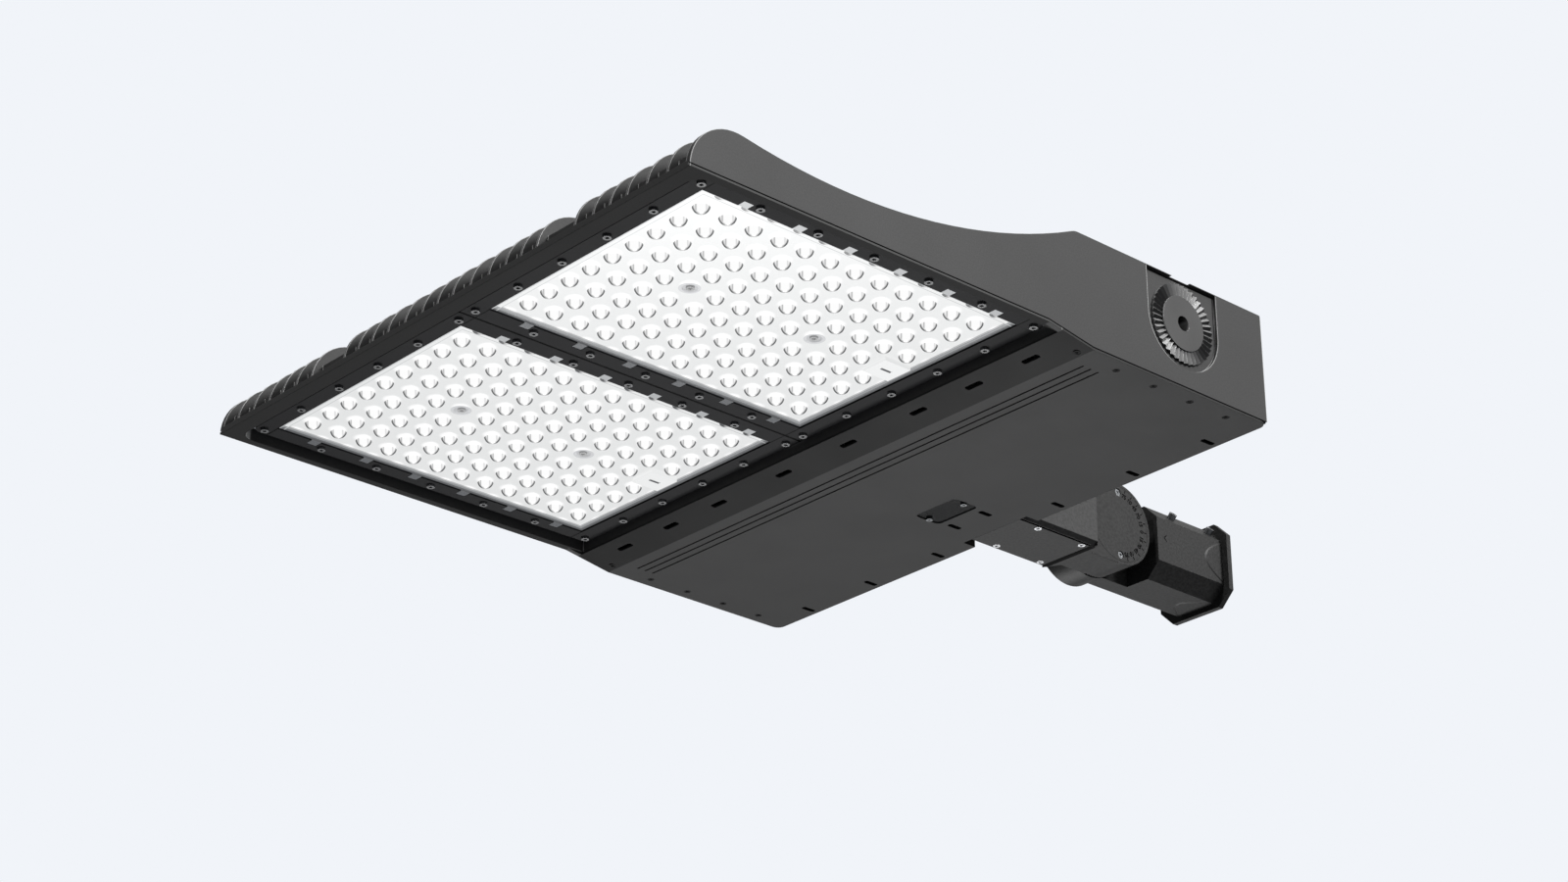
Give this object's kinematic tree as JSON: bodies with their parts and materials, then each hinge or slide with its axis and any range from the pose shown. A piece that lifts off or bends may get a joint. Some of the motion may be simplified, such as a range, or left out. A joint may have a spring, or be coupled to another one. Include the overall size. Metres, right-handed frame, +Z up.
{
  "type": "flood light",
  "caption": "Pole-mounted LED flood light: wide finned head with lens modules and a driver box, on a toothed tilt knuckle and slip fitter.",
  "frame": {"origin": "the tenon bore's axis at the slip fitter's mouth, where the pole enters", "axes": "+X from the mouth to the head's nose along the tenon's axis, +Z up, +Y towards the side of the head that carries the graduated dial"},
  "size_m": [0.944, 0.634, 0.1074],
  "materials": {
    "powder_coated_casting": "fine textured powder coat",
    "powder_coated_sheet": "smooth matt powder coat",
    "black_rail": "satin black",
    "lens_polycarbonate": "clear moulded",
    "window_polycarbonate": "smoked",
    "zinc_steel": "zinc plated",
    "black_steel": "black oxide",
    "silicone_seal": "matt",
    "black_seal": "matt",
    "white_board": "white solder mask",
    "phosphor": "silicone dome",
    "driver_case": "bare",
    "moulded_nylon": "matt",
    "black_nylon": "matt",
    "red_switch": "gloss",
    "green_screw": "green passivated"
  },
  "bodies": {
    "fitter": {"slip_fitter": "powder_coated_casting", "pivot_bolt": "zinc_steel", "pivot_washer": "zinc_steel", "pivot_nut": "zinc_steel"},
    "head": {"arm": "powder_coated_casting", "arm_cover": "powder_coated_sheet", "arm_cover_screws": "zinc_steel", "arm_gasket": "black_seal", "arm_bolts": "zinc_steel", "dial_plate": "powder_coated_casting", "dial_screws": "zinc_steel", "housing": "powder_coated_casting", "left_yoke_hub": "powder_coated_casting", "right_yoke_hub": "powder_coated_casting", "driver_cover": "powder_coated_sheet", "driver_cover_screws": "black_steel", "switch_window": "window_polycarbonate", "window_screws": "zinc_steel", "switch_tray": "black_nylon", "power_switch": "red_switch", "colour_switch": "red_switch", "left_driver": "driver_case", "right_driver": "driver_case", "driver_screws": "zinc_steel", "surge_protector": "moulded_nylon", "terminal_block": "moulded_nylon", "earth_screw": "green_screw", "left_outer_rail": "black_rail", "left_inner_rail": "black_rail", "left_nose_rail": "black_rail", "left_rear_rail": "black_rail", "left_rail_screws": "zinc_steel", "left_lens_sheet": "lens_polycarbonate", "left_lens_gasket": "silicone_seal", "left_board": "white_board", "left_chips": "phosphor", "left_board_screws": "zinc_steel", "right_outer_rail": "black_rail", "right_inner_rail": "black_rail", "right_nose_rail": "black_rail", "right_rear_rail": "black_rail", "right_rail_screws": "zinc_steel", "right_lens_sheet": "lens_polycarbonate", "right_lens_gasket": "silicone_seal", "right_board": "white_board", "right_chips": "phosphor", "right_board_screws": "zinc_steel"},
    "front_set_screw": {"front_set_screw": "zinc_steel"},
    "rear_set_screw": {"rear_set_screw": "zinc_steel"},
    "power_slider": {"power_slider": "moulded_nylon"},
    "colour_slider": {"colour_slider": "moulded_nylon"}
  },
  "joints": [
    {"name": "tilt", "type": "hinge", "parent": "fitter", "child": "head", "pos_m": [0.153, 0.0175, 0], "axis": [0, 1, 0], "range_deg": [-90, 90]},
    {"name": "front_set_screw_travel", "type": "slide", "parent": "fitter", "child": "front_set_screw", "axis": [0, 0.7071, 0.7071], "range_m": [-0.003, 0.006]},
    {"name": "rear_set_screw_travel", "type": "slide", "parent": "fitter", "child": "rear_set_screw", "axis": [0, 0.7071, 0.7071], "range_m": [-0.003, 0.006]},
    {"name": "power_slider_travel", "type": "slide", "parent": "head", "child": "power_slider", "axis": [0, 1, 0], "range_m": [0, 0.008]},
    {"name": "colour_slider_travel", "type": "slide", "parent": "head", "child": "colour_slider", "axis": [0, 1, 0], "range_m": [0, 0.008]}
  ]
}
